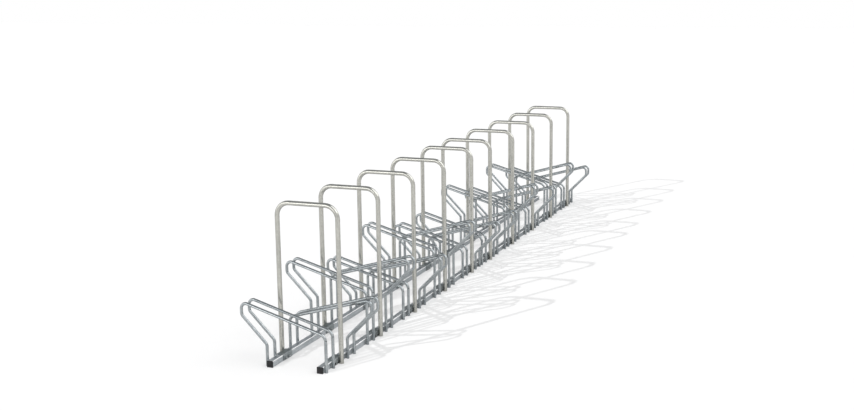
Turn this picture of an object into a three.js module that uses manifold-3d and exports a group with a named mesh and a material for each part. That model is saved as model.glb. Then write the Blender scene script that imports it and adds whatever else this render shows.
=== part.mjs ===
// Two tier bike rack, double sided, for a floor or a yard.
// The rack is two modules set end to end. In each, two parallel square rails carry a row of tall
// lean-on hoops. Two wheel holders stand beside each hoop, one overhanging the rails to the left and
// one to the right. A holder is a pair of bent tube loops with the wheel between them. Every other
// hoop of a module has its holders lifted by one tier, so that the handlebars of neighbouring bikes
// clear each other.
// Millimetres, +Z up, +Y along the rails. The origin is on the floor in the middle of the rack.

import * as THREE from 'three';
import { mergeVertices } from 'three/addons/utils/BufferGeometryUtils.js';
import Module from 'manifold-3d';

// The modules from front to rear, and the hoops of a module, each with the tier of its holders.
const moduleNames = ['front', 'rear'];
const moduleTiers = ['low', 'high', 'low', 'high', 'low'];
const hoopPitch = 500;
const tierLift = 105;

// Base rails of square tube, with the feet of every hoop and loop on their outer faces.
const railSpan = 325;
const railSize = 35;
const railWall = 2;
const railCornerRadius = 3;
const railOverrun = 190;
const seatGap = 0.3;

// Black plugs in the rail ends: a flat head outside and a hollow tongue inside. Where two modules
// meet, the heads lie back to back as one.
const plugHead = 5;
const plugHeadBevel = 1;
const plugTongue = 24;
const plugTongueWall = 2.5;
const plugCornerRadius = 1.5;

// Lean-on hoops of round tube.
const hoopTube = 25;
const hoopHeight = 850;
const hoopBendRadius = 70;

// Saddle plate folded over each rail, welded to the hoop's foot and held by bolts.
const saddlePlate = 4;
const saddleBefore = 75;
const saddleAfter = 15;
const saddleFloorGap = 4;
const boltHead = 13;
const boltHeadHeight = 5;
const boltRise = 14;
const boltInset = 17;
const boltPitch = 36;
const boltsPerSaddle = 2;

// Wheel holders: two loops of thin tube side by side, across the rails beside each hoop.
const loopTube = 16;
const loopSpacing = 80;
const holderOffset = 125;

// Outline of a loop of the low tier, by the corners of its centre line. The back leg rises to the
// run, the run climbs outwards to the nose, and the nose folds down and back to the front leg.
const backHeight = 194;
const noseReach = 315;
const noseHeight = 333;
const noseFace = 71;
const kneeHeight = 115;
const backBendRadius = 40;
const noseBendRadius = 28;
const kneeBendRadius = 28;

// Fineness of the facets.
const loopSides = 8;
const loopTurnPerRing = Math.PI / 6;
const hoopSides = 10;
const hoopTurnPerRing = Math.PI / 8;
const cornerSegments = 1;
const boltSides = 6;

const hoopsPerModule = moduleTiers.length;
const moduleLength = (hoopsPerModule - 1) * hoopPitch + 2 * railOverrun;
const rackLength = moduleNames.length * moduleLength;
const railLength = moduleLength - 2 * (plugHead + seatGap);
const railCentre = (railSpan - railSize) / 2;
const hoopFootX = railSpan / 2 + seatGap + hoopTube / 2;
const loopFootX = railSpan / 2 + seatGap + loopTube / 2;

const wasm = await Module();
wasm.setup();

function finish(color, roughness, metalness) {
  return new THREE.MeshStandardMaterial({ color, roughness, metalness });
}

const railFinish = () => finish(0xa4abb1, 0.45, 0.85);
const hoopFinish = () => finish(0xbebfb7, 0.4, 0.85);
const loopFinish = () => finish(0xaab0b2, 0.42, 0.85);
const plugFinish = () => finish(0x1b1c1e, 0.6, 0);

function toSolid(geometry) {
  const bare = geometry.clone();
  bare.deleteAttribute('normal');
  bare.deleteAttribute('uv');
  const merged = mergeVertices(bare);
  return new wasm.Manifold(
    new wasm.Mesh({
      numProp: 3,
      vertProperties: merged.getAttribute('position').array,
      triVerts: Uint32Array.from(merged.getIndex().array),
    }),
  );
}

function toGeometry(solid) {
  const { vertProperties, triVerts } = solid.getMesh();
  const geometry = new THREE.BufferGeometry();
  geometry.setAttribute('position', new THREE.BufferAttribute(vertProperties, 3));
  geometry.setIndex(new THREE.BufferAttribute(triVerts, 1));
  geometry.computeVertexNormals();
  return geometry;
}

function namedMesh(name, geometry, material) {
  const mesh = new THREE.Mesh(geometry, material);
  mesh.name = name;
  return mesh;
}

// Turns an outline drawn in X and Z into a bar along Y that ends at the given Y.
function barAlongY(outline, length, endY) {
  const geometry = new THREE.ExtrudeGeometry(outline, {
    depth: length,
    curveSegments: cornerSegments,
    bevelEnabled: false,
  });
  return geometry.rotateX(Math.PI / 2).translate(0, endY, 0);
}

// A square with round corners, centred on the origin.
function roundSquare(size, radius, Kind = THREE.Shape) {
  const half = size / 2;
  const inner = half - radius;
  const outline = new Kind();
  outline.moveTo(-inner, -half);
  outline.lineTo(inner, -half);
  outline.absarc(inner, -inner, radius, -Math.PI / 2, 0, false);
  outline.lineTo(half, inner);
  outline.absarc(inner, inner, radius, 0, Math.PI / 2, false);
  outline.lineTo(-inner, half);
  outline.absarc(-inner, inner, radius, Math.PI / 2, Math.PI, false);
  outline.lineTo(-half, -inner);
  outline.absarc(-inner, -inner, radius, Math.PI, (3 * Math.PI) / 2, false);
  return outline;
}

// Rings of one bend: where the centre line is, and which way it heads, from bend start to end.
function bendStations(before, corner, after, radius, turnPerRing) {
  const into = corner.clone().sub(before).normalize();
  const outOf = after.clone().sub(corner).normalize();
  const turn = Math.atan2(into.cross(outOf), into.dot(outOf));
  const start = corner.clone().addScaledVector(into, -radius * Math.tan(Math.abs(turn) / 2));
  const towardsCentre = new THREE.Vector2(-into.y, into.x).multiplyScalar(Math.sign(turn));
  const centre = start.clone().addScaledVector(towardsCentre, radius);
  const steps = Math.ceil(Math.abs(turn) / turnPerRing);
  const stations = [];
  for (let step = 0; step <= steps; step += 1) {
    const angle = (turn * step) / steps;
    stations.push({
      point: start.clone().rotateAround(centre, angle),
      heading: into.clone().rotateAround(new THREE.Vector2(), angle),
    });
  }
  return stations;
}

// A round tube bent in the X-Z plane. Its centre line follows the corners, rounded by the bend
// radii, one for each inner corner. The tube is closed by a flat face at each end.
function bentTube(corners, bendRadii, diameter, sides, turnPerRing) {
  const first = corners[0];
  const last = corners.at(-1);
  const stations = [{ point: first, heading: corners[1].clone().sub(first).normalize() }];
  bendRadii.forEach((radius, index) => {
    const [before, corner, after] = corners.slice(index, index + 3);
    stations.push(...bendStations(before, corner, after, radius, turnPerRing));
  });
  stations.push({ point: last, heading: last.clone().sub(corners.at(-2)).normalize() });

  const positions = [];
  const triangles = [];
  stations.forEach(({ point, heading }, ring) => {
    for (let side = 0; side < sides; side += 1) {
      const angle = (2 * Math.PI * side) / sides;
      const across = (diameter / 2) * Math.cos(angle);
      positions.push(
        point.x - heading.y * across,
        (diameter / 2) * Math.sin(angle),
        point.y + heading.x * across,
      );
      if (ring > 0) {
        const here = ring * sides + side;
        const next = ring * sides + ((side + 1) % sides);
        triangles.push(here - sides, here, next - sides, next - sides, here, next);
      }
    }
  });
  const lastRing = (stations.length - 1) * sides;
  for (let side = 1; side < sides - 1; side += 1) {
    triangles.push(0, side, side + 1);
    triangles.push(lastRing, lastRing + side + 1, lastRing + side);
  }

  const geometry = new THREE.BufferGeometry();
  geometry.setAttribute('position', new THREE.Float32BufferAttribute(positions, 3));
  geometry.setIndex(triangles);
  geometry.computeVertexNormals();
  return geometry;
}

function railGeometry() {
  const outline = roundSquare(railSize, railCornerRadius);
  const boreSize = railSize - 2 * railWall;
  outline.holes.push(roundSquare(boreSize, railCornerRadius - railWall, THREE.Path));
  return barAlongY(outline, railLength, railLength / 2);
}

// The head of a plug: a bevelled plate of the given thickness that ends at the given Y.
function plugHeadSolid(thickness, endY) {
  const head = new THREE.ExtrudeGeometry(roundSquare(railSize, railCornerRadius), {
    depth: thickness - 2 * plugHeadBevel,
    curveSegments: cornerSegments,
    bevelThickness: plugHeadBevel,
    bevelSize: plugHeadBevel,
    bevelOffset: -plugHeadBevel,
    bevelSegments: 1,
  });
  head.rotateX(Math.PI / 2).translate(0, endY - plugHeadBevel, 0);
  return toSolid(head);
}

// The hollow tongue of a plug. It leaves the head's seat towards +Y, or towards -Y once turned.
function plugTongueSolid(seatY, turn) {
  const seated = (bar) => toSolid(bar.rotateZ(turn).translate(0, seatY, 0));
  const tongueSize = railSize - 2 * (railWall + seatGap);
  const pocketSize = tongueSize - 2 * plugTongueWall;
  const tongue = barAlongY(
    roundSquare(tongueSize, plugCornerRadius),
    plugTongue + plugHead / 2,
    plugTongue,
  );
  const pocket = barAlongY(
    roundSquare(pocketSize, plugCornerRadius),
    plugTongue,
    plugTongue + plugTongueWall,
  );
  return seated(tongue).subtract(seated(pocket));
}

// A plug for a free end of a rail. Its head points towards -Y, with the head's seat at Y = 0.
function endPlugGeometry() {
  return toGeometry(plugHeadSolid(plugHead, 0).add(plugTongueSolid(0, 0)));
}

// The plug between two modules, centred on Y = 0, with a tongue for the rail on either side.
function jointPlugGeometry() {
  const head = plugHeadSolid(2 * plugHead, plugHead);
  return toGeometry(
    head.add(plugTongueSolid(plugHead, 0)).add(plugTongueSolid(-plugHead, Math.PI)),
  );
}

// The folded plate that straddles the rail on one side of the rack, side -1 being the left one,
// with its bolt heads on the outer flange.
function saddleSolid(side) {
  const innerHalf = railSize / 2 + seatGap;
  const outerHalf = innerHalf + saddlePlate;
  const plateUnderside = railSize + seatGap;
  const plateTop = plateUnderside + saddlePlate;
  const outline = new THREE.Shape([
    new THREE.Vector2(-outerHalf, saddleFloorGap),
    new THREE.Vector2(-innerHalf, saddleFloorGap),
    new THREE.Vector2(-innerHalf, plateUnderside),
    new THREE.Vector2(innerHalf, plateUnderside),
    new THREE.Vector2(innerHalf, saddleFloorGap),
    new THREE.Vector2(outerHalf, saddleFloorGap),
    new THREE.Vector2(outerHalf, plateTop),
    new THREE.Vector2(-outerHalf, plateTop),
  ]);
  const plate = barAlongY(outline, saddleBefore + saddleAfter, saddleAfter);
  let saddle = toSolid(plate.translate(side * railCentre, 0, 0));
  const sunkIn = saddlePlate / 2;
  const headMiddle = outerHalf + (boltHeadHeight - sunkIn) / 2;
  for (let bolt = 0; bolt < boltsPerSaddle; bolt += 1) {
    const head = new THREE.CylinderGeometry(
      boltHead / 2,
      boltHead / 2,
      boltHeadHeight + sunkIn,
      boltSides,
    );
    head.rotateZ(Math.PI / 2);
    const boltY = -saddleBefore + boltInset + bolt * boltPitch;
    head.translate(side * (railCentre + headMiddle), boltY, boltRise);
    saddle = saddle.add(toSolid(head));
  }
  return saddle;
}

function hoopGeometry() {
  const topBar = hoopHeight - hoopTube / 2;
  const corners = [
    new THREE.Vector2(-hoopFootX, 0),
    new THREE.Vector2(-hoopFootX, topBar),
    new THREE.Vector2(hoopFootX, topBar),
    new THREE.Vector2(hoopFootX, 0),
  ];
  const bends = [hoopBendRadius, hoopBendRadius];
  const tube = toSolid(bentTube(corners, bends, hoopTube, hoopSides, hoopTurnPerRing));
  return toGeometry(tube.add(saddleSolid(-1)).add(saddleSolid(1)));
}

// A loop that overhangs to the left. The high tier keeps the outline and stands on longer legs.
function loopGeometry(tier) {
  const lift = tier === 'high' ? tierLift : 0;
  const corners = [
    new THREE.Vector2(loopFootX, 0),
    new THREE.Vector2(loopFootX, backHeight + lift),
    new THREE.Vector2(-noseReach, noseHeight + lift),
    new THREE.Vector2(-noseReach, noseHeight - noseFace + lift),
    new THREE.Vector2(-loopFootX, kneeHeight + lift),
    new THREE.Vector2(-loopFootX, 0),
  ];
  const bends = [backBendRadius, noseBendRadius, noseBendRadius, kneeBendRadius];
  return bentTube(corners, bends, loopTube, loopSides, loopTurnPerRing);
}

// One wheel holder, centred between its loops. The outer loop is the one further from the hoop.
function wheelHolder(side, number, geometry) {
  const holder = new THREE.Group();
  for (const [place, y] of [['outer', -loopSpacing / 2], ['inner', loopSpacing / 2]]) {
    const loop = namedMesh(`wheel_loop_${side}_${number}_${place}`, geometry, loopFinish());
    loop.position.y = y;
    holder.add(loop);
  }
  return holder;
}

// One hoop with a left holder before it and a right holder behind it, the left one turned round.
function hoopStation(index, tier) {
  const number = String(index + 1).padStart(2, '0');
  const station = new THREE.Group();
  const leftHolder = wheelHolder('left', number, loops[tier]);
  leftHolder.position.y = -holderOffset;
  const rightHolder = wheelHolder('right', number, loops[tier]);
  rightHolder.position.y = holderOffset;
  rightHolder.rotation.z = Math.PI;
  station.add(namedMesh(`hoop_${number}`, hoop, hoopFinish()), leftHolder, rightHolder);
  return station;
}

// One module, centred on its own middle: two rails and their row of hoops.
function rackModule(name, moduleIndex) {
  const module = new THREE.Group();
  for (const [side, x] of railPlaces) {
    const railMesh = namedMesh(`rail_${side}_${name}`, rail, railFinish());
    railMesh.position.set(x, 0, railSize / 2);
    module.add(railMesh);
  }
  moduleTiers.forEach((tier, index) => {
    const station = hoopStation(moduleIndex * hoopsPerModule + index, tier);
    station.position.y = (index - (hoopsPerModule - 1) / 2) * hoopPitch;
    module.add(station);
  });
  return module;
}

const railPlaces = [['left', -railCentre], ['right', railCentre]];
const rail = railGeometry();
const hoop = hoopGeometry();
const loops = { low: loopGeometry('low'), high: loopGeometry('high') };
const endPlug = endPlugGeometry();
const jointPlug = jointPlugGeometry();

const rack = new THREE.Group();
rack.name = 'two_tier_bike_rack';

moduleNames.forEach((name, index) => {
  const module = rackModule(name, index);
  module.position.y = (index - (moduleNames.length - 1) / 2) * moduleLength;
  rack.add(module);
});

const endSeat = rackLength / 2 - plugHead;
for (const [side, x] of railPlaces) {
  const frontPlug = namedMesh(`end_plug_${side}_front`, endPlug, plugFinish());
  frontPlug.position.set(x, -endSeat, railSize / 2);
  const middlePlug = namedMesh(`joint_plug_${side}`, jointPlug, plugFinish());
  middlePlug.position.set(x, 0, railSize / 2);
  const rearPlug = namedMesh(`end_plug_${side}_rear`, endPlug, plugFinish());
  rearPlug.position.set(x, endSeat, railSize / 2);
  rearPlug.rotation.z = Math.PI;
  rack.add(frontPlug, middlePlug, rearPlug);
}

export default rack;
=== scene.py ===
# Two tier bike rack: looks of the galvanised tubes, rails, saddles, welds and plugs.
import math
import bmesh
import bpy
from mathutils import Matrix, Vector


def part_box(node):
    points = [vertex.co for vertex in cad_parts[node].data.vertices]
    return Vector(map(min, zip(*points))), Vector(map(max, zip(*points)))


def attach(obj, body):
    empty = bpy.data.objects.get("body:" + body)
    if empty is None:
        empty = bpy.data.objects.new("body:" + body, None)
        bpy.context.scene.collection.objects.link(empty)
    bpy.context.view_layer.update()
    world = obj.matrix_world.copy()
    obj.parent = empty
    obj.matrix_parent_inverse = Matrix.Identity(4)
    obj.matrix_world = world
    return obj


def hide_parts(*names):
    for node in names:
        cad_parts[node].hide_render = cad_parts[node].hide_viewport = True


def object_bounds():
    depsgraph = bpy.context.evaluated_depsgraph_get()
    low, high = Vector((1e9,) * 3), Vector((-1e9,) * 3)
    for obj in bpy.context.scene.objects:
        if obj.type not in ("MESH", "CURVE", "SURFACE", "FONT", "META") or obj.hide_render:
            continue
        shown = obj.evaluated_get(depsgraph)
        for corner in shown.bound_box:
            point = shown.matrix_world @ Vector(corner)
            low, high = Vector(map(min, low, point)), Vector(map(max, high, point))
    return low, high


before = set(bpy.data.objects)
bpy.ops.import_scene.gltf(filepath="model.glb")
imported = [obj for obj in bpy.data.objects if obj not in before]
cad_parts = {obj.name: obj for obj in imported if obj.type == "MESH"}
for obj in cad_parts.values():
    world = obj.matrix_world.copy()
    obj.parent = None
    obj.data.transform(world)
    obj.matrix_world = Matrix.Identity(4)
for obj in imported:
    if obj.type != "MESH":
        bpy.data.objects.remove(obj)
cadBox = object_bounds()
print("frame loaded:", len(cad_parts), "nodes")

floorZ = cadBox[0].z
hoopNames = sorted(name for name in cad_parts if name.startswith("hoop_"))
loopNames = sorted(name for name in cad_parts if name.startswith("wheel_loop_"))
railNames = sorted(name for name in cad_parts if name.startswith("rail_"))
plugNames = sorted(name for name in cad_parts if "_plug_" in name)
railBoxes = {name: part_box(name) for name in railNames}
railSize = railBoxes[railNames[0]][1].z - railBoxes[railNames[0]][0].z
railCentreX = abs(sum(corner.x for corner in railBoxes[railNames[0]])) / 2


# Node trees

class Wire:
    # an output socket that does arithmetic by adding Math nodes
    def __init__(self, sheet, socket):
        self.sheet = sheet
        self.socket = socket

    def calc(self, operation, first, second):
        return self.sheet.add("ShaderNodeMath", {"operation": operation}, {0: first, 1: second})

    def __add__(self, other):
        return self.calc("ADD", self, other)

    def __sub__(self, other):
        return self.calc("SUBTRACT", self, other)

    def __rsub__(self, other):
        return self.calc("SUBTRACT", other, self)

    def __mul__(self, other):
        return self.calc("MULTIPLY", self, other)

    def __truediv__(self, other):
        return self.calc("DIVIDE", self, other)

    def __rtruediv__(self, other):
        return self.calc("DIVIDE", other, self)

    def __abs__(self):
        return self.sheet.add("ShaderNodeMath", {"operation": "ABSOLUTE"}, {0: self})

    __radd__ = __add__
    __rmul__ = __mul__


class Sheet:
    # a node tree to which nodes are added one call at a time
    def __init__(self, tree):
        self.tree = tree

    def add(self, kind, settings=None, sockets=None, out=0):
        # settings come first, since they decide which sockets there are
        node = self.tree.nodes.new(kind)
        for key, value in (settings or {}).items():
            setattr(node, key, value)
        for key, value in (sockets or {}).items():
            if isinstance(value, Wire):
                self.tree.links.new(value.socket, node.inputs[key])
            else:
                node.inputs[key].default_value = value
        return Wire(self, node.outputs[out]) if node.outputs else node


def rgba(colour):
    return (*colour, 1)


def newMaterial(name):
    material = bpy.data.materials.new(name)
    material.use_nodes = True
    material.node_tree.nodes.clear()
    return material, Sheet(material.node_tree)


def noise(sheet, place, size, detail, roughness):
    # a cloudy pattern around 0.5, whose patches have about the given size
    return sheet.add(
        "ShaderNodeTexNoise",
        None,
        {"Vector": place, "Scale": 1 / size, "Detail": detail, "Roughness": roughness},
    )


def ranged(sheet, value, start, end, first=0.0, last=1.0, interpolation="LINEAR"):
    # goes from first to last while the value goes from start to end, and stays level beyond
    return sheet.add(
        "ShaderNodeMapRange",
        {"clamp": True, "interpolation_type": interpolation},
        {0: value, 1: start, 2: end, 3: first, 4: last},
    )


def mixedColour(sheet, factor, first, second):
    return sheet.add(
        "ShaderNodeMix",
        {"data_type": "RGBA"},
        {"Factor": factor, 6: first, 7: second},
        out=2,
    )


def bumped(sheet, look, relief):
    return sheet.add(
        "ShaderNodeBump",
        None,
        {"Strength": look["bump"], "Distance": look["bumpDepth"], "Height": relief},
    )


def newGeometryTree(name, inputs):
    # a geometry node group with a mesh in, a mesh out and the named inputs
    tree = bpy.data.node_groups.new(name, "GeometryNodeTree")
    tree.interface.new_socket(name="Geometry", in_out="INPUT", socket_type="NodeSocketGeometry")
    for label, kind in inputs.items():
        tree.interface.new_socket(name=label, in_out="INPUT", socket_type="NodeSocket" + kind)
    tree.interface.new_socket(name="Geometry", in_out="OUTPUT", socket_type="NodeSocketGeometry")
    entry = tree.nodes.new("NodeGroupInput")
    sheet = Sheet(tree)
    wires = {socket.name: Wire(sheet, socket) for socket in entry.outputs if socket.name}
    return tree, sheet, wires


def ringProfile(sheet, sides, diameter):
    # the round outline that is swept along a curve
    return sheet.add(
        "GeometryNodeCurvePrimitiveCircle",
        {"mode": "RADIUS"},
        {"Resolution": sides, "Radius": diameter * 0.5},
    )


def endTree(sheet, shape, material):
    # every tree ends with real geometry and one material
    real = sheet.add("GeometryNodeRealizeInstances", None, {"Geometry": shape})
    painted = sheet.add("GeometryNodeSetMaterial", None, {"Geometry": real, "Material": material})
    sheet.add("NodeGroupOutput", None, {0: painted})


def runTree(base, tree, values):
    # sets the inputs by identifier, evaluates the tree and leaves a plain mesh on the object
    modifier = base.modifiers.new("shape", "NODES")
    modifier.node_group = tree
    for item in tree.interface.items_tree:
        if item.in_out == "INPUT" and item.name in values:
            modifier[item.identifier] = values[item.name]
    return flattened(base)


def flattened(piece):
    # applies the modifiers and leaves a plain mesh
    bpy.context.view_layer.update()
    depsgraph = bpy.context.evaluated_depsgraph_get()
    mesh = bpy.data.meshes.new_from_object(piece.evaluated_get(depsgraph), depsgraph=depsgraph)
    piece.modifiers.clear()
    piece.data = mesh
    mesh.name = piece.name
    return piece


def newPiece(name, mesh):
    piece = bpy.data.objects.new(name, mesh)
    bpy.context.scene.collection.objects.link(piece)
    return piece


# Zinc finishes. Each has its light and its dark patches, "along" is the axis that the runs follow,
# "runs" is how wide and how long they are, "foot" makes the lowest few centimetres lighter, or
# darker below 0, and "edgeHighlight" is the width of the painted highlight: white lines on the
# rails' long corners that stand in for the light the rounded corners would catch. Sizes are in
# metres.
zincLooks = {
    "railZinc": {
        "light": (0.65, 0.68, 0.70),
        "dark": (0.40, 0.43, 0.45),
        "roughness": 0.28,
        "along": "Y",
        "runs": (0.005, 0.30),
        "foot": 0.0,
        "edgeHighlight": 0.0042,
    },
    "hoopZinc": {
        "light": (0.57, 0.565, 0.52),
        "dark": (0.37, 0.37, 0.345),
        "roughness": 0.17,
        "along": "Z",
        "runs": (0.006, 0.12),
        "foot": -0.2,
    },
    "loopZinc": {
        "light": (0.47, 0.495, 0.50),
        "dark": (0.225, 0.25, 0.265),
        "roughness": 0.15,
        "along": "Z",
        "runs": (0.005, 0.08),
        "foot": -0.2,
    },
    "saddleZinc": {
        "light": (0.45, 0.48, 0.49),
        "dark": (0.16, 0.18, 0.185),
        "roughness": 0.36,
        "along": "Y",
        "runs": (0.006, 0.06),
        "foot": 0.0,
    },
    "weldZinc": {
        "light": (0.50, 0.52, 0.52),
        "dark": (0.28, 0.30, 0.31),
        "roughness": 0.40,
        "along": "Z",
        "runs": (0.006, 0.02),
        "foot": 0.0,
    },
    # near black: painted shade inside the vent holes, whose zinc walls are dark only from shade
    "boreZinc": {
        "light": (0.030, 0.032, 0.034),
        "dark": (0.012, 0.013, 0.014),
        "roughness": 0.60,
        "along": "Z",
        "runs": (0.006, 0.02),
        "foot": 0.0,
    },
}
# What all of them share. A noise is its size, detail and roughness, "rimTint" darkens the rims of
# the tubes, and "toneRange" is where the dark patches end and the light ones begin.
spangle = {
    "metalness": 0.88,
    "rimTint": (0.16, 0.165, 0.17),
    "crystalSize": 0.006,
    "cloud": (0.09, 4.0, 0.6),
    "grain": (0.0018, 2.0, 0.5),
    "runsDetail": 3.0,
    "runsRoughness": 0.55,
    "toneRange": (0.42, 0.88),
    "footHeight": 0.05,
    "footWander": 0.06,
    "bump": 0.12,
    "bumpDepth": 0.0001,
    # the painted highlight on the rails' corners: its near-white colour, its metalness and how far
    # its width wanders
    "highlightColour": (0.95, 0.955, 0.96),
    "highlightMetalness": 0.1,
    "highlightWander": 1.6,
}
# How much each pattern adds to the tone, the roughness and the relief
toneShares = {"crystal": 0.18, "cloud": 0.45, "runs": 0.55, "grain": 0.12}
roughShares = {"crystal": 0.05, "runs": 0.14, "foot": 0.08}
reliefShares = {"crystal": 0.1, "grain": 0.5, "runs": 0.4}


def paintedEdgeHighlights(sheet, place, runs, width):
    # 1 on the long corners of the rails: a painted highlight, a white line standing in for the
    #                                     light that the rounded corners would catch
    half = railSize / 2
    apart = sheet.add("ShaderNodeSeparateXYZ", None, {0: place}).socket.node.outputs
    across = abs(abs(Wire(sheet, apart[0])) - railCentreX)
    above = abs(Wire(sheet, apart[2]) - (floorZ + half))
    corner = sheet.add("ShaderNodeMath", {"operation": "MINIMUM"}, {0: across, 1: above})
    uneven = corner + (runs - 0.5) * width * spangle["highlightWander"]
    return ranged(sheet, uneven, half - width, half - width / 2, interpolation="SMOOTHSTEP")


def makeZinc(name, look):
    # hot-dip zinc: faint crystals, cloudy patches, and runs along the steel
    material, sheet = newMaterial(name)
    place = sheet.add("ShaderNodeTexCoord", out=3)
    cells = sheet.add(
        "ShaderNodeTexVoronoi",
        {"feature": "F1"},
        {"Vector": place, "Scale": 1 / spangle["crystalSize"], "Randomness": 1.0},
        out=1,
    )
    crystal = sheet.add("ShaderNodeSeparateColor", None, {0: cells})
    cloud = noise(sheet, place, *spangle["cloud"])
    grain = noise(sheet, place, *spangle["grain"])
    width, length = look["runs"]
    stretch = [width / length if axis == look["along"] else 1 for axis in "XYZ"]
    stretched = sheet.add(
        "ShaderNodeMapping",
        {"vector_type": "POINT"},
        {"Vector": place, "Scale": stretch},
    )
    runs = noise(sheet, stretched, width, spangle["runsDetail"], spangle["runsRoughness"])
    height = sheet.add("ShaderNodeSeparateXYZ", None, {0: place}, out=2)
    unevenHeight = height + (cloud - 0.5) * spangle["footWander"]
    foot = ranged(sheet, unevenHeight, floorZ, floorZ + spangle["footHeight"], 1.0, 0.0)
    tone = (
        crystal * toneShares["crystal"]
        + cloud * toneShares["cloud"]
        + runs * toneShares["runs"]
        + grain * toneShares["grain"]
        + foot * look["foot"]
    )
    mask = ranged(sheet, tone, *spangle["toneRange"])
    colour = mixedColour(sheet, mask, rgba(look["dark"]), rgba(look["light"]))
    metal = spangle["metalness"]
    # painted highlight: the rails' long corners turn near white and less metallic, standing in for
    # light caught by the rounded corners
    if "edgeHighlight" in look:
        highlightMask = paintedEdgeHighlights(sheet, place, runs, look["edgeHighlight"])
        colour = mixedColour(sheet, highlightMask, colour, rgba(spangle["highlightColour"]))
        metal = metal - highlightMask * (metal - spangle["highlightMetalness"])
    rough = (
        look["roughness"]
        + (crystal - 0.5) * roughShares["crystal"]
        + (runs - 0.5) * roughShares["runs"]
        + foot * roughShares["foot"]
    )
    relief = (
        crystal * reliefShares["crystal"]
        + grain * reliefShares["grain"]
        + runs * reliefShares["runs"]
    )
    shader = sheet.add(
        "ShaderNodeBsdfPrincipled",
        None,
        {
            "Base Color": colour,
            "Metallic": metal,
            "Roughness": rough,
            "Normal": bumped(sheet, spangle, relief),
            "Specular Tint": rgba(spangle["rimTint"]),
        },
    )
    sheet.add("ShaderNodeOutputMaterial", None, {"Surface": shader})
    return material


plasticLook = {
    "deep": (0.008, 0.008, 0.009),
    "worn": (0.022, 0.022, 0.024),
    "roughness": 0.5,
    "roughWander": 0.2,
    "gloss": 0.25,
    "grain": (0.0007, 2.0, 0.5),
    "patch": (0.02, 3.0, 0.5),
    "patchRange": (0.35, 0.75),
    "bump": 0.25,
    "bumpDepth": 0.0001,
}


def makePlastic(name, look):
    # moulded black plastic with a fine grain and slightly greyed patches
    material, sheet = newMaterial(name)
    place = sheet.add("ShaderNodeTexCoord", out=3)
    grain = noise(sheet, place, *look["grain"])
    patch = noise(sheet, place, *look["patch"])
    mask = ranged(sheet, patch, *look["patchRange"])
    shader = sheet.add(
        "ShaderNodeBsdfPrincipled",
        None,
        {
            "Base Color": mixedColour(sheet, mask, rgba(look["deep"]), rgba(look["worn"])),
            "Roughness": look["roughness"] + (patch - 0.5) * look["roughWander"],
            "Specular IOR Level": look["gloss"],
            "Normal": bumped(sheet, look, grain),
        },
    )
    sheet.add("ShaderNodeOutputMaterial", None, {"Surface": shader})
    return material


zinc = {name: makeZinc(name, look) for name, look in zincLooks.items()}
blackPlastic = makePlastic("blackPlastic", plasticLook)
print("materials made")


# Bent tubes

def makeTubeTree():
    # rounds the corners of a chain of edges and sweeps a hollow-footed tube along it
    tree, sheet, given = newGeometryTree(
        "bentTube",
        {
            "Tube Diameter": "Float",
            "Tube Wall": "Float",
            "Foot Depth": "Float",
            "Foot Facing": "Float",
            "Floor Height": "Float",
            "Rings Per Bend": "Int",
            "Sides": "Int",
            "Sharp Angle": "Float",
            "Material": "Material",
        },
    )
    line = sheet.add("GeometryNodeMeshToCurve", None, {"Mesh": given["Geometry"]})
    bend = sheet.add(
        "GeometryNodeInputNamedAttribute",
        {"data_type": "FLOAT"},
        {"Name": "bendRadius"},
    )
    rounded = sheet.add(
        "GeometryNodeFilletCurve",
        {"mode": "POLY"},
        {"Curve": line, "Count": given["Rings Per Bend"], "Radius": bend},
    )
    ring = ringProfile(sheet, given["Sides"], given["Tube Diameter"])
    tube = sheet.add(
        "GeometryNodeCurveToMesh",
        None,
        {"Curve": rounded, "Profile Curve": ring, "Fill Caps": True},
    )
    # the feet are the faces that lie on the floor and look down
    here = sheet.add("GeometryNodeInputPosition")
    height = sheet.add("ShaderNodeSeparateXYZ", None, {0: here}, out=2)
    normal = sheet.add("GeometryNodeInputNormal")
    facing = sheet.add("ShaderNodeSeparateXYZ", None, {0: normal}, out=2)
    low = sheet.add(
        "FunctionNodeCompare",
        {"data_type": "FLOAT", "operation": "LESS_THAN"},
        {0: height - given["Floor Height"], 1: given["Tube Wall"]},
    )
    down = sheet.add(
        "FunctionNodeCompare",
        {"data_type": "FLOAT", "operation": "LESS_THAN"},
        {0: facing, 1: given["Foot Facing"]},
    )
    foot = sheet.add("FunctionNodeBooleanMath", {"operation": "AND"}, {0: low, 1: down})
    inset = sheet.add(
        "GeometryNodeExtrudeMesh",
        {"mode": "FACES"},
        {"Mesh": tube, "Selection": foot, "Offset Scale": 0.0, "Individual": True},
    )
    insetTop = Wire(sheet, inset.socket.node.outputs["Top"])
    boreShare = 1 - given["Tube Wall"] * 2 / given["Tube Diameter"]
    ringed = sheet.add(
        "GeometryNodeScaleElements",
        {"domain": "FACE"},
        {"Geometry": inset, "Selection": insetTop, "Scale": boreShare},
    )
    upwards = sheet.add("ShaderNodeCombineXYZ", None, {2: given["Foot Depth"]})
    hollow = sheet.add(
        "GeometryNodeExtrudeMesh",
        {"mode": "FACES"},
        {
            "Mesh": ringed,
            "Selection": insetTop,
            "Offset": upwards,
            "Offset Scale": 1.0,
            "Individual": True,
        },
    )
    smooth = sheet.add(
        "GeometryNodeSetShadeSmooth",
        {"domain": "FACE"},
        {"Geometry": hollow, "Shade Smooth": True},
    )
    angle = sheet.add("GeometryNodeInputMeshEdgeAngle")
    crease = sheet.add(
        "FunctionNodeCompare",
        {"data_type": "FLOAT", "operation": "GREATER_THAN"},
        {0: angle, 1: given["Sharp Angle"]},
    )
    creased = sheet.add(
        "GeometryNodeSetShadeSmooth",
        {"domain": "EDGE"},
        {"Geometry": smooth, "Selection": crease, "Shade Smooth": False},
    )
    endTree(sheet, creased, given["Material"])
    return tree


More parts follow.
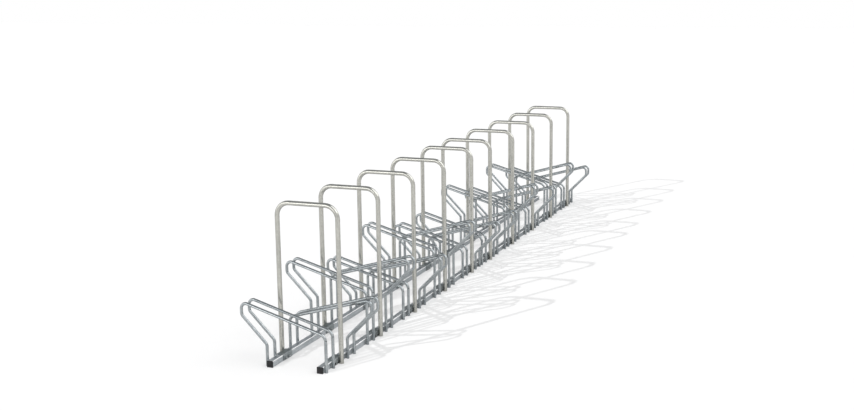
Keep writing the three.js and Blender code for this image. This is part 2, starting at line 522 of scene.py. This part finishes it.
def chainOfEdges(name, corners, bends):
    # the centre line of a bent tube in the X-Z plane, with the bend radius at each corner
    mesh = bpy.data.meshes.new(name)
    points = [(x, 0, z) for x, z in corners]
    mesh.from_pydata(points, [(i, i + 1) for i in range(len(points) - 1)], [])
    radii = mesh.attributes.new("bendRadius", "FLOAT", "POINT")
    radii.data.foreach_set("value", bends)
    return newPiece(name, mesh)


tubeTree = makeTubeTree()
smoothTube = {
    "Foot Depth": 0.03,
    "Foot Facing": -0.9,
    "Floor Height": floorZ,
    "Rings Per Bend": 14,
    "Sharp Angle": math.radians(40),
}


def bentTube(name, corners, bends, settings, material):
    base = chainOfEdges(name, corners, bends)
    values = {**smoothTube, **settings, "Material": material}
    return runTree(base, tubeTree, values)


ventShape = {"diameter": 0.006, "sides": 12}  # the holes that let the zinc into the tubes


def drilled(pattern, holes, length):
    # cuts level holes through a tube; each hole is its middle point and its angle from the X axis
    drill = bmesh.new()
    level = Matrix.Rotation(math.pi / 2, 4, "Y")  # lays the drill along X
    for point, angle in holes:
        bmesh.ops.create_cone(
            drill,
            cap_ends=True,
            segments=ventShape["sides"],
            radius1=ventShape["diameter"] / 2,
            radius2=ventShape["diameter"] / 2,
            depth=length,
            matrix=Matrix.Translation(point) @ Matrix.Rotation(math.radians(angle), 4, "Z") @ level,
        )
    mesh = bpy.data.meshes.new("ventDrill")
    drill.to_mesh(mesh)
    drill.free()
    # the holes' walls take this near-black material, painted shade for the dark inside of the holes
    mesh.materials.append(zinc["boreZinc"])
    tool = newPiece("ventDrill", mesh)
    cut = pattern.modifiers.new("vents", "BOOLEAN")
    cut.operation = "DIFFERENCE"
    cut.solver = "EXACT"
    cut.material_mode = "TRANSFER"
    cut.object = tool
    flattened(pattern)
    bpy.data.objects.remove(tool)
    return pattern


# Wheel loops
loopShape = {
    "tube": 0.016,
    "wall": 0.002,
    "footX": 0.1708,
    "backHeight": 0.194,
    "noseReach": 0.315,
    "noseHeight": 0.333,
    "noseFace": 0.071,
    "kneeHeight": 0.115,
    "backBend": 0.040,
    "noseBend": 0.028,
    "kneeBend": 0.028,
    "sides": 24,
    "ventDrop": 0.024,
    "ventAngle": -45,
}


def loopCorners(lift):
    s = loopShape
    return [
        (s["footX"], floorZ),
        (s["footX"], s["backHeight"] + lift),
        (-s["noseReach"], s["noseHeight"] + lift),
        (-s["noseReach"], s["noseHeight"] - s["noseFace"] + lift),
        (-s["footX"], s["kneeHeight"] + lift),
        (-s["footX"], floorZ),
    ]


def makeLoop(name, lift):
    s = loopShape
    bends = [0, s["backBend"], s["noseBend"], s["noseBend"], s["kneeBend"], 0]
    sizes = {"Tube Diameter": s["tube"], "Tube Wall": s["wall"], "Sides": s["sides"]}
    pattern = bentTube(name, loopCorners(lift), bends, sizes, zinc["loopZinc"])
    ventHeight = s["backHeight"] + lift - s["ventDrop"]
    return drilled(pattern, [((s["footX"], 0, ventHeight), s["ventAngle"])], 2 * s["tube"])


loopBoxes = {name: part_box(name) for name in loopNames}
lowestTop = min(box[1].z for box in loopBoxes.values())
loopMeshes = {}
legs = []
for name, (low, high) in loopBoxes.items():
    lift = round(high.z - lowestTop, 4)  # how much higher than the lower tier
    if lift not in loopMeshes:
        pattern = makeLoop(f"loopPattern{len(loopMeshes)}", lift)
        loopMeshes[lift] = pattern.data
        bpy.data.objects.remove(pattern)
    overhangsLeft = low.x + high.x < 0
    middleY = (low.y + high.y) / 2
    turn = Matrix.Identity(4) if overhangsLeft else Matrix.Rotation(math.pi, 4, "Z")
    mesh = loopMeshes[lift].copy()
    mesh.transform(Matrix.Translation((0, middleY, 0)) @ turn)
    piece = newPiece(name.replace("wheel_loop", "bentLoop"), mesh)
    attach(piece, "root")
    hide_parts(name)
    legs += [(side * loopShape["footX"], middleY, loopShape["tube"]) for side in (-1, 1)]
print("wheel loops made:", len(loopBoxes))


# Hoops, each with its two saddle plates
hoopShape = {
    "tube": 0.025,
    "wall": 0.002,
    "bend": 0.070,
    "footX": 0.1753,
    "sides": 36,
    "ventDrop": 0.006,
}
saddleShape = {
    "start": -0.075,
    "end": 0.015,
    "plate": 0.004,
    "outerFold": 0.005,
    "innerFold": 0.0012,
    "foldSteps": 5,
    "floorGap": 0.004,
    "gap": 0.0003,
    "edgeBevel": 0.0006,
    "bevelSteps": 2,
    "bevelAngle": 50,
}
mergeDistance = 1e-6


def arc(centreX, centreZ, radius, start, end, steps):
    turns = [math.radians(start + (end - start) * step / steps) for step in range(steps + 1)]
    return [(centreX + radius * math.cos(a), centreZ + radius * math.sin(a)) for a in turns]


def saddleOutline():
    # the folded plate seen along the rail, centred on the rail, from the left flange's outer edge
    s = saddleShape
    inner = railSize / 2 + s["gap"]
    outer = inner + s["plate"]
    top = railSize + s["gap"] + s["plate"]
    under = top - s["plate"]
    fold, tight, steps = s["outerFold"], s["innerFold"], s["foldSteps"]
    return (
        [(-outer, s["floorGap"])]
        + arc(-outer + fold, top - fold, fold, 180, 90, steps)
        + arc(outer - fold, top - fold, fold, 90, 0, steps)
        + [(outer, s["floorGap"]), (inner, s["floorGap"])]
        + arc(inner - tight, under - tight, tight, 0, 90, steps)
        + arc(-inner + tight, under - tight, tight, 90, 180, steps)
        + [(-inner, s["floorGap"])]
    )


def extrudeAlongY(outline, startY, endY):
    # vertices and faces of a bar with the given outline
    count = len(outline)
    points = [(x, y, z) for y in (startY, endY) for x, z in outline]
    faces = [(i, (i + 1) % count, count + (i + 1) % count, count + i) for i in range(count)]
    faces += [tuple(reversed(range(count))), tuple(range(count, 2 * count))]
    return points, faces


def meshFrom(name, points, faces, material):
    mesh = bpy.data.meshes.new(name)
    mesh.from_pydata(points, [], faces)
    mesh.materials.append(material)
    mesh.validate()
    mesh.update()
    return mesh


def recalculated(mesh):
    # merges doubles and points the faces of a closed mesh outwards
    edit = bmesh.new()
    edit.from_mesh(mesh)
    bmesh.ops.remove_doubles(edit, verts=edit.verts, dist=mergeDistance)
    bmesh.ops.recalc_face_normals(edit, faces=edit.faces)
    edit.to_mesh(mesh)
    edit.free()
    return mesh


def shaded(mesh, angle):
    # smooth, apart from the edges that are sharper than the angle
    mesh.shade_smooth()
    mesh.set_sharp_from_angle(angle=math.radians(angle))
    return mesh


def makeSaddle():
    # the plate with its sharp edges rounded
    points, faces = extrudeAlongY(saddleOutline(), saddleShape["start"], saddleShape["end"])
    mesh = recalculated(meshFrom("saddlePattern", points, faces, zinc["saddleZinc"]))
    piece = newPiece("saddlePattern", mesh)
    edges = piece.modifiers.new("edges", "BEVEL")
    edges.width = saddleShape["edgeBevel"]
    edges.segments = saddleShape["bevelSteps"]
    edges.limit_method = "ANGLE"
    edges.angle_limit = math.radians(saddleShape["bevelAngle"])
    mesh = flattened(piece).data
    bpy.data.objects.remove(piece)
    return mesh


def joinedMesh(name, parts):
    # one mesh from several, each moved by its own matrix and keeping its own material
    edit = bmesh.new()
    whole = bpy.data.meshes.new(name)
    for mesh, matrix in parts:
        copy = mesh.copy()
        copy.transform(matrix)
        for material in mesh.materials:
            if material.name not in whole.materials:
                whole.materials.append(material)
        slots = [whole.materials.find(material.name) for material in mesh.materials]
        faceSlots = [slots[face.material_index] for face in mesh.polygons]
        copy.polygons.foreach_set("material_index", faceSlots)
        edit.from_mesh(copy)
        bpy.data.meshes.remove(copy)
    edit.to_mesh(whole)
    edit.free()
    return whole


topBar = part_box(hoopNames[0])[1].z - hoopShape["tube"] / 2
hoopPattern = bentTube(
    "hoopPattern",
    [
        (-hoopShape["footX"], floorZ),
        (-hoopShape["footX"], topBar),
        (hoopShape["footX"], topBar),
        (hoopShape["footX"], floorZ),
    ],
    [0, hoopShape["bend"], hoopShape["bend"], 0],
    {
        "Tube Diameter": hoopShape["tube"],
        "Tube Wall": hoopShape["wall"],
        "Sides": hoopShape["sides"],
    },
    zinc["hoopZinc"],
)
ventHeight = topBar - hoopShape["bend"] - hoopShape["ventDrop"]
drilled(
    hoopPattern,
    [((side * hoopShape["footX"], 0, ventHeight), 0) for side in (-1, 1)],
    2 * hoopShape["tube"],
)
saddlePattern = makeSaddle()
hoopMesh = joinedMesh(
    "hoopWithSaddles",
    [
        (hoopPattern.data, Matrix.Identity(4)),
        (saddlePattern, Matrix.Translation((-railCentreX, 0, 0))),
        (saddlePattern, Matrix.Translation((railCentreX, 0, 0))),
    ],
)
bpy.data.objects.remove(hoopPattern)

hoopYs = []
for name in hoopNames:
    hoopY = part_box(name)[0].y - saddleShape["start"]
    hoopYs.append(hoopY)
    mesh = hoopMesh.copy()
    mesh.transform(Matrix.Translation((0, hoopY, 0)))
    piece = newPiece(name.replace("hoop_", "leanHoop_"), mesh)
    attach(piece, "root")
    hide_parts(name)
    legs += [(side * hoopShape["footX"], hoopY, hoopShape["tube"]) for side in (-1, 1)]
print("hoops made:", len(hoopNames))


# Rails
railShape = {"wall": 0.002, "corner": 0.003, "cornerSteps": 5, "sharpAngle": 35}
cornerHold = 0.0003  # a point this far beside each corner's arc keeps the sides flat when shaded


def roundSquare(size, radius, steps):
    # the outline of a square with round corners
    half = size / 2
    inner = half - radius
    beside = inner - cornerHold
    points = []
    for turn in range(4):
        side = [(half, beside)] + arc(inner, inner, radius, 0, 90, steps) + [(beside, half)]
        for quarter in range(turn):
            side = [(-z, x) for x, z in side]
        points += side
    return points


def squareTube(name, startY, endY):
    # outer skin, bore and the two end rings of a square tube along Y
    wall, corner, steps = railShape["wall"], railShape["corner"], railShape["cornerSteps"]
    outer = roundSquare(railSize, corner, steps)
    bore = roundSquare(railSize - 2 * wall, corner - wall, steps)
    count = len(outer)
    points = []
    for outline in (outer, bore):
        for y in (startY, endY):
            points += [(x, y, z) for x, z in outline]
    faces = []
    for i in range(count):
        j = (i + 1) % count
        faces.append((i, j, count + j, count + i))
        faces.append((2 * count + j, 2 * count + i, 3 * count + i, 3 * count + j))
        faces.append((j, i, 2 * count + i, 2 * count + j))
        faces.append((count + i, count + j, 3 * count + j, 3 * count + i))
    return recalculated(meshFrom(name, points, faces, zinc["railZinc"]))


for name, (low, high) in railBoxes.items():
    mesh = squareTube(name, low.y, high.y)
    mesh.transform(Matrix.Translation(((low.x + high.x) / 2, 0, (low.z + high.z) / 2)))
    shaded(mesh, railShape["sharpAngle"])
    piece = newPiece(name.replace("rail_", "baseRail_"), mesh)
    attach(piece, "root")
    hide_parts(name)
print("rails made")


# Plugs: a square head with a sunk face, and a hollow tongue with gripping ribs in the rail. At a
# free end there is one, and where two modules meet, two of them lie face to face.
plugShape = {
    "head": 0.005,
    "corner": 0.0022,
    "edge": 0.0009,
    "edgeSteps": 4,
    "rim": 0.0035,
    "sunk": 0.0008,
    "crown": 0.0004,
    "faceShares": [(0.7, 0.55), (1.0, 0.2)],
    "tongue": 0.024,
    "tongueSide": 0.0298,
    "tongueCorner": 0.0015,
    "tongueWall": 0.0025,
    "ribs": 4,
    "ribHeight": 0.0004,
    "ribFlankShare": 0.2,
    "cornerSteps": 4,
    "sharpAngle": 38,
}


def tongueRings():
    # rings are (distance out of the rail, side, corner radius): here from the pocket's floor to its
    # mouth, and back along the ribs to the rail's end
    s = plugShape
    corner, full, hollow = s["tongueCorner"], s["tongueSide"], s["tongueSide"] - 2 * s["tongueWall"]
    pocketCorner = corner / 2
    low = full - 2 * s["ribHeight"]
    pitch = s["tongue"] / (s["ribs"] + 1)
    flank = pitch * s["ribFlankShare"]
    rings = [(-s["tongueWall"], hollow, pocketCorner), (-s["tongue"], hollow, pocketCorner)]
    rings += [(-s["tongue"], low - 2 * s["ribHeight"], corner)]
    for rib in range(s["ribs"], 0, -1):
        middle = -rib * pitch
        rings += [
            (middle - flank, low, corner),
            (middle, full, corner),
            (middle + flank, low, corner),
        ]
    return rings + [(0, full, corner)]


def headRings():
    # out over the side of the head and round its edge
    s = plugShape
    rings = [(0, railSize, s["corner"])]
    for step in range(s["edgeSteps"] + 1):
        a = math.pi / 2 * step / s["edgeSteps"]
        out = s["head"] - s["edge"] * (1 - math.sin(a))
        rings.append((out, railSize - 2 * s["edge"] * (1 - math.cos(a)), s["corner"]))
    return rings


def faceRings():
    # over the rim and down to the sunk face, which is slightly crowned
    s = plugShape
    side, sunk = railSize - 2 * s["rim"], s["head"] - s["sunk"]
    rings = [(s["head"], side, s["corner"]), (sunk, side - 2 * s["sunk"], s["corner"])]
    for rise, width in s["faceShares"]:
        rings.append((sunk + s["crown"] * rise, side * width, s["corner"] * width))
    return rings


def plugMesh(name, rings):
    # a skin over the rings, closed at both ends
    points = [
        (x, -out, z)
        for out, side, corner in rings
        for x, z in roundSquare(side, corner, plugShape["cornerSteps"])
    ]
    count = len(points) // len(rings)
    faces = []
    for ring in range(len(rings) - 1):
        here, there = ring * count, (ring + 1) * count
        for i in range(count):
            j = (i + 1) % count
            faces.append((here + i, here + j, there + j, there + i))
    faces += [tuple(range(count)), tuple(range(len(points) - count, len(points)))[::-1]]
    mesh = recalculated(meshFrom(name, points, faces, blackPlastic))
    return shaded(mesh, plugShape["sharpAngle"])


halfPlug = tongueRings() + headRings()
otherHalf = [(2 * plugShape["head"] - out, side, corner) for out, side, corner in halfPlug[-2::-1]]
plugMeshes = {
    "end": plugMesh("endPlugPattern", halfPlug + faceRings()),
    "joint": plugMesh("jointPlugPattern", halfPlug + otherHalf),
}
for name in plugNames:
    low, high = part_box(name)
    kind = name.split("_")[0]
    facesRear = name.endswith("_rear")
    turn = Matrix.Rotation(math.pi if facesRear else 0, 4, "Z")
    seat = high.y - plugShape["head"] if facesRear else low.y + plugShape["head"]
    if kind == "joint":
        seat = (low.y + high.y) / 2 + plugShape["head"]
    mesh = plugMeshes[kind].copy()
    mesh.transform(Matrix.Translation(((low.x + high.x) / 2, seat, (low.z + high.z) / 2)) @ turn)
    piece = newPiece("ribbedPlug_" + name.replace("_plug_", "_"), mesh)
    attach(piece, "root")
    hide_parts(name)
print("plugs made:", len(plugNames))


# Weld beads down both sides of every leg where it touches the rail. In shares of the bead, its axis
# lies outShare off the rail's face, and asideShare beside the leg's surface at deepShare off it.
weldShape = {
    "bottom": 0.004,
    "top": 0.0325,
    "bead": 0.0042,
    "spacing": 0.0019,
    "ripple": 0.0038,
    "rippleShare": 0.11,
    "wander": 0.22,
    "wanderSize": 0.009,
    "deepShare": 0.32,
    "outShare": 0.22,
    "asideShare": 0.25,
    "sides": 6,
    "seed": 7,
}


def makeWeldTree():
    # sweeps a rippled bead along every edge
    tree, sheet, given = newGeometryTree(
        "weldBead",
        {
            "Bead Diameter": "Float",
            "Station Spacing": "Float",
            "Ripple Pitch": "Float",
            "Ripple Share": "Float",
            "Wander Share": "Float",
            "Wander Size": "Float",
            "Sides": "Int",
            "Seed": "Int",
            "Material": "Material",
        },
    )
    line = sheet.add("GeometryNodeMeshToCurve", None, {"Mesh": given["Geometry"]})
    finer = sheet.add(
        "GeometryNodeResampleCurve",
        {"mode": "LENGTH"},
        {"Curve": line, "Length": given["Station Spacing"]},
    )
    along = sheet.add("GeometryNodeSplineParameter", out=1)
    phase = along * (2 * math.pi) / given["Ripple Pitch"]
    ripple = sheet.add("ShaderNodeMath", {"operation": "SINE"}, {0: phase})
    here = sheet.add("GeometryNodeInputPosition")
    wander = sheet.add(
        "ShaderNodeTexNoise",
        {"noise_dimensions": "4D"},
        {"Vector": here, "W": given["Seed"], "Scale": 1 / given["Wander Size"], "Detail": 2.0},
    )
    width = 1 + ripple * given["Ripple Share"] + (wander - 0.5) * 2 * given["Wander Share"]
    ring = ringProfile(sheet, given["Sides"], given["Bead Diameter"])
    bead = sheet.add(
        "GeometryNodeCurveToMesh",
        None,
        {"Curve": finer, "Profile Curve": ring, "Fill Caps": True, "Scale": width},
    )
    smooth = sheet.add(
        "GeometryNodeSetShadeSmooth",
        {"domain": "FACE"},
        {"Geometry": bead, "Shade Smooth": True},
    )
    endTree(sheet, smooth, given["Material"])
    return tree


def weldLines(side):
    # two upright lines for each leg on one rail: where the round leg leaves the rail's face
    s = weldShape
    points = []
    railFace = railCentreX + railSize / 2
    for x, y, tube in legs:
        if x * side < 0:
            continue
        away = math.sqrt((tube / 2) ** 2 - (tube / 2 - s["bead"] * s["deepShare"]) ** 2)
        for way in (-1, 1):
            lineX = side * (railFace + s["bead"] * s["outShare"])
            lineY = y + way * (away + s["bead"] * s["asideShare"])
            points += [(lineX, lineY, floorZ + s[end]) for end in ("bottom", "top")]
    mesh = bpy.data.meshes.new("weldLines")
    mesh.from_pydata(points, [(i, i + 1) for i in range(0, len(points), 2)], [])
    return mesh


weldTree = makeWeldTree()
for name, side in (("weldBeads_left", -1), ("weldBeads_right", 1)):
    piece = runTree(
        newPiece(name, weldLines(side)),
        weldTree,
        {
            "Bead Diameter": weldShape["bead"],
            "Station Spacing": weldShape["spacing"],
            "Ripple Pitch": weldShape["ripple"],
            "Ripple Share": weldShape["rippleShare"],
            "Wander Share": weldShape["wander"],
            "Wander Size": weldShape["wanderSize"],
            "Sides": weldShape["sides"],
            "Seed": weldShape["seed"],
            "Material": zinc["weldZinc"],
        },
    )
    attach(piece, "root")
print("weld beads made")


# Bolts of the saddles: a washer and a black cap outside, a washer and a nut inside. A profile's
# points are shares of the thickness and of the radius.
boltShape = {
    "rise": 0.014,
    "inset": 0.017,
    "pitch": 0.036,
    "count": 2,
    "washer": 0.0175,
    "washerThick": 0.0014,
    "washerSides": 24,
    "washerProfile": [(0, 1), (0.75, 1), (1, 0.952), (1, 0.45)],
    "cap": 0.0130,
    "capThick": 0.0036,
    "capSides": 6,
    "capProfile": [(0, 1), (0.55, 1), (0.82, 0.86), (0.95, 0.6), (1, 0.25)],
    "nut": 0.0150,
    "nutThick": 0.0062,
    "nutSides": 6,
    "nutProfile": [(0, 0.92), (0.12, 1), (0.88, 1), (1, 0.9), (1, 0.5)],
    "thread": 0.0078,
    "threadOut": 0.0035,
    "threadSides": 16,
    "threadStart": 0.5,
    "ridges": 3,
    "ridgeProfile": [(0.1, 1), (0.55, 0.88)],
    "tip": 0.8,
    "sharpAngle": 35,
    "capSharpAngle": 50,
}


def profileOf(shares, start, thick, diameter):
    # the shares in metres, as (distance along X, radius)
    return [(start + thick * out, diameter / 2 * width) for out, width in shares]


def turnedMesh(name, profile, sides, material, sharpAngle):
    # a ring of points for each of the profile's (distance along X, radius), closed at both ends
    points = []
    for along, radius in profile:
        for i in range(sides):
            a = 2 * math.pi * (i + 0.5) / sides
            points.append((along, radius * math.cos(a), radius * math.sin(a)))
    faces = []
    for ring in range(len(profile) - 1):
        for i in range(sides):
            j = (i + 1) % sides
            here, there = ring * sides, (ring + 1) * sides
            faces.append((here + i, here + j, there + j, there + i))
    last = (len(profile) - 1) * sides
    faces += [tuple(range(sides)), tuple(range(last, last + sides))[::-1]]
    return shaded(recalculated(meshFrom(name, points, faces, material)), sharpAngle)


def washerMesh():
    s = boltShape
    profile = profileOf(s["washerProfile"], 0, s["washerThick"], s["washer"])
    return turnedMesh(
        "washerPattern", profile, s["washerSides"], zinc["saddleZinc"], s["sharpAngle"]
    )


def capMesh():
    # a six-sided cap whose corners are turned off by a dome
    s = boltShape
    profile = profileOf(s["capProfile"], s["washerThick"], s["capThick"], s["cap"])
    return turnedMesh("capPattern", profile, s["capSides"], blackPlastic, s["capSharpAngle"])


def nutMesh():
    # a chamfered nut with the bolt's end standing out of it
    s = boltShape
    start, thick = s["washerThick"], s["nutThick"]
    profile = profileOf(s["nutProfile"], start, thick, s["nut"])
    nut = turnedMesh("nutBody", profile, s["nutSides"], zinc["weldZinc"], s["sharpAngle"])
    pitch = s["threadOut"] / s["ridges"]
    thread = profileOf([(s["threadStart"], 1)], start, thick, s["thread"])
    for ridge in range(s["ridges"]):
        thread += profileOf(s["ridgeProfile"], start + thick + ridge * pitch, pitch, s["thread"])
    thread += profileOf([(1, s["tip"])], start + thick, s["threadOut"], s["thread"])
    bolt = turnedMesh("boltEnd", thread, s["threadSides"], zinc["weldZinc"], s["sharpAngle"])
    return joinedMesh("nutPattern", [(nut, Matrix.Identity(4)), (bolt, Matrix.Identity(4))])


def makeScatterTree():
    # puts a copy of the pattern on every point, turned about Z by the point's own angle
    inputs = {"Pattern": "Object", "Material": "Material"}
    tree, sheet, given = newGeometryTree("fastenerRow", inputs)
    source = {"Object": given["Pattern"]}
    pattern = sheet.add("GeometryNodeObjectInfo", None, source, out="Geometry")
    angle = sheet.add("GeometryNodeInputNamedAttribute", {"data_type": "FLOAT"}, {"Name": "turn"})
    turn = sheet.add("ShaderNodeCombineXYZ", None, {2: angle})
    row = sheet.add(
        "GeometryNodeInstanceOnPoints",
        None,
        {"Points": given["Geometry"], "Instance": pattern, "Rotation": turn},
    )
    endTree(sheet, row, given["Material"])
    return tree


def boltPlaces(inside):
    # a point for every bolt on the saddles' outer or inner faces, with the angle that it faces
    s = boltShape
    half = railSize / 2 + saddleShape["gap"] + saddleShape["plate"]
    points, turns = [], []
    for hoopY in hoopYs:
        for side in (-1, 1):
            for bolt in range(s["count"]):
                y = hoopY + saddleShape["start"] + s["inset"] + bolt * s["pitch"]
                x = side * (railCentreX + (-half if inside else half))
                points.append((x, y, floorZ + s["rise"]))
                turns.append(0 if (side > 0) != inside else math.pi)
    mesh = bpy.data.meshes.new("boltPlaces")
    mesh.from_pydata(points, [], [])
    mesh.attributes.new("turn", "FLOAT", "POINT").data.foreach_set("value", turns)
    return mesh


scatterTree = makeScatterTree()
fasteners = [
    ("washersOutside", washerMesh(), False, zinc["saddleZinc"], "galvanised_hoop"),
    ("boltCaps", capMesh(), False, blackPlastic, "black_plastic"),
    ("washersInside", washerMesh(), True, zinc["saddleZinc"], "galvanised_hoop"),
    ("boltNuts", nutMesh(), True, zinc["weldZinc"], "galvanised_hoop"),
]
for name, mesh, inside, material, slot in fasteners:
    pattern = newPiece(name + "Pattern", mesh)
    piece = newPiece(name, boltPlaces(inside))
    runTree(piece, scatterTree, {"Pattern": pattern, "Material": material})
    bpy.data.objects.remove(pattern)
    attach(piece, "root")
print("bolts made:", 2 * len(hoopNames) * boltShape["count"])


# Floor, lights and camera. The sky that is seen is white up to where "fade" starts, as a height on
# a ball of radius 1, and has the grey of a studio's ceiling from where it ends.
stageLook = {
    "floorSize": 60,
    "floorDrop": 0.0002,
    "floorColour": (0.5, 0.5, 0.5),
    "floorGlow": 0.36,
    "skyDiffuse": (0.42, 0.42, 0.425),
    "horizon": (1.0, 1.0, 1.0),
    "ceiling": (0.26, 0.275, 0.30),
    "fade": (0.40, 0.75),
}


def seenRays(sheet):
    # 1 for what the camera, the steel's reflections and clear things see
    rays = sheet.add("ShaderNodeLightPath").socket.node.outputs
    direct = Wire(sheet, rays["Is Camera Ray"]) + Wire(sheet, rays["Is Glossy Ray"])
    return sheet.add(
        "ShaderNodeMath",
        {"operation": "ADD", "use_clamp": True},
        {0: direct, 1: Wire(sheet, rays["Is Transmission Ray"])},
    )


def makeFloor():
    # a matt pale floor that keeps the shadow; a little glow makes it white where it is seen
    material, sheet = newMaterial("floorWhite")
    matt = sheet.add("ShaderNodeBsdfDiffuse", None, {"Color": rgba(stageLook["floorColour"])})
    seenGlow = seenRays(sheet) * stageLook["floorGlow"]
    glow = sheet.add("ShaderNodeEmission", None, {"Strength": seenGlow})
    both = sheet.add("ShaderNodeAddShader", None, {0: matt, 1: glow})
    sheet.add("ShaderNodeOutputMaterial", None, {"Surface": both})
    half = stageLook["floorSize"] / 2
    z = floorZ - stageLook["floorDrop"]
    corners = [(-half, -half, z), (half, -half, z), (half, half, z), (-half, half, z)]
    floor = newPiece("floor", meshFrom("floor", corners, [(0, 1, 2, 3)], material))


def makeSky():
    # soft even light on what is matt, and a background that camera and steel see alike
    world = bpy.data.worlds.new("studio")
    bpy.context.scene.world = world
    world.use_nodes = True
    world.node_tree.nodes.clear()
    sheet = Sheet(world.node_tree)
    soft = sheet.add("ShaderNodeBackground", None, {"Color": rgba(stageLook["skyDiffuse"])})
    direction = sheet.add("ShaderNodeTexCoord")
    height = sheet.add("ShaderNodeSeparateXYZ", None, {0: direction}, out=2)
    overhead = ranged(sheet, height, *stageLook["fade"])
    horizon, ceiling = rgba(stageLook["horizon"]), rgba(stageLook["ceiling"])
    studio = mixedColour(sheet, overhead, horizon, ceiling)
    seen = sheet.add("ShaderNodeBackground", None, {"Color": studio})
    whole = sheet.add("ShaderNodeMixShader", None, {0: seenRays(sheet), 1: soft, 2: seen})
    sheet.add("ShaderNodeOutputWorld", None, {"Surface": whole})


# Sun lamps. The key draws the shadow and is too small to be mirrored, and the four wide ones give
# the steel its bright lines. "angle" is how wide a lamp looks, in degrees.
lamps = {
    "keyLight": {"from": (-0.75, -1.52, 0.84), "strength": 2.6, "angle": 0.5, "mirrored": False},
    "frontLight": {"from": (-0.37, -0.9, 0.14), "strength": 0.5, "angle": 28.0, "mirrored": True},
    "leftLight": {"from": (-0.85, -0.5, 0.25), "strength": 0.3, "angle": 36.0, "mirrored": True},
    "rearLight": {"from": (0.33, 0.9, 0.3), "strength": 0.4, "angle": 28.0, "mirrored": True},
    "sideLight": {"from": (0.59, 0.0, 0.78), "strength": 1.8, "angle": 58.0, "mirrored": True},
}


def makeLamps():
    for name, look in lamps.items():
        light = bpy.data.lights.new(name, "SUN")
        light.energy = look["strength"]
        light.angle = math.radians(look["angle"])
        lamp = bpy.data.objects.new(name, light)
        lamp.visible_glossy = look["mirrored"]
        bpy.context.scene.collection.objects.link(lamp)
        lamp.rotation_mode = "QUATERNION"
        lamp.rotation_quaternion = Vector(look["from"]).to_track_quat("Z", "Y")


viewpoint = {
    "place": (2.864, -7.576, 2.0405),
    "yaw": -22.17,
    "pitch": 11.33,
    "roll": -0.75,
    "focalPixels": 1201.9,
    "imageWidth": 854,
    "sensor": 36,
    "farthest": 200,
}


def makeCamera():
    yaw, pitch, roll = (math.radians(viewpoint[k]) for k in ("yaw", "pitch", "roll"))
    ahead = Vector((
        math.sin(yaw) * math.cos(pitch),
        math.cos(yaw) * math.cos(pitch),
        -math.sin(pitch),
    ))
    flatRight = Vector((math.cos(yaw), -math.sin(yaw), 0))
    flatUp = flatRight.cross(ahead)
    right = math.cos(roll) * flatRight + math.sin(roll) * flatUp
    up = math.cos(roll) * flatUp - math.sin(roll) * flatRight
    lens = bpy.data.cameras.new("camera")
    lens.sensor_width = viewpoint["sensor"]
    lens.lens = viewpoint["focalPixels"] * viewpoint["sensor"] / viewpoint["imageWidth"]
    lens.clip_end = viewpoint["farthest"]
    camera = bpy.data.objects.new("camera", lens)
    bpy.context.scene.collection.objects.link(camera)
    turned = Matrix((right, up, -ahead)).transposed().to_4x4()
    camera.matrix_world = Matrix.Translation(viewpoint["place"]) @ turned
    bpy.context.scene.camera = camera


makeFloor()
makeSky()
makeLamps()
makeCamera()
bpy.context.scene.view_settings.view_transform = "Standard"
print("stage made")
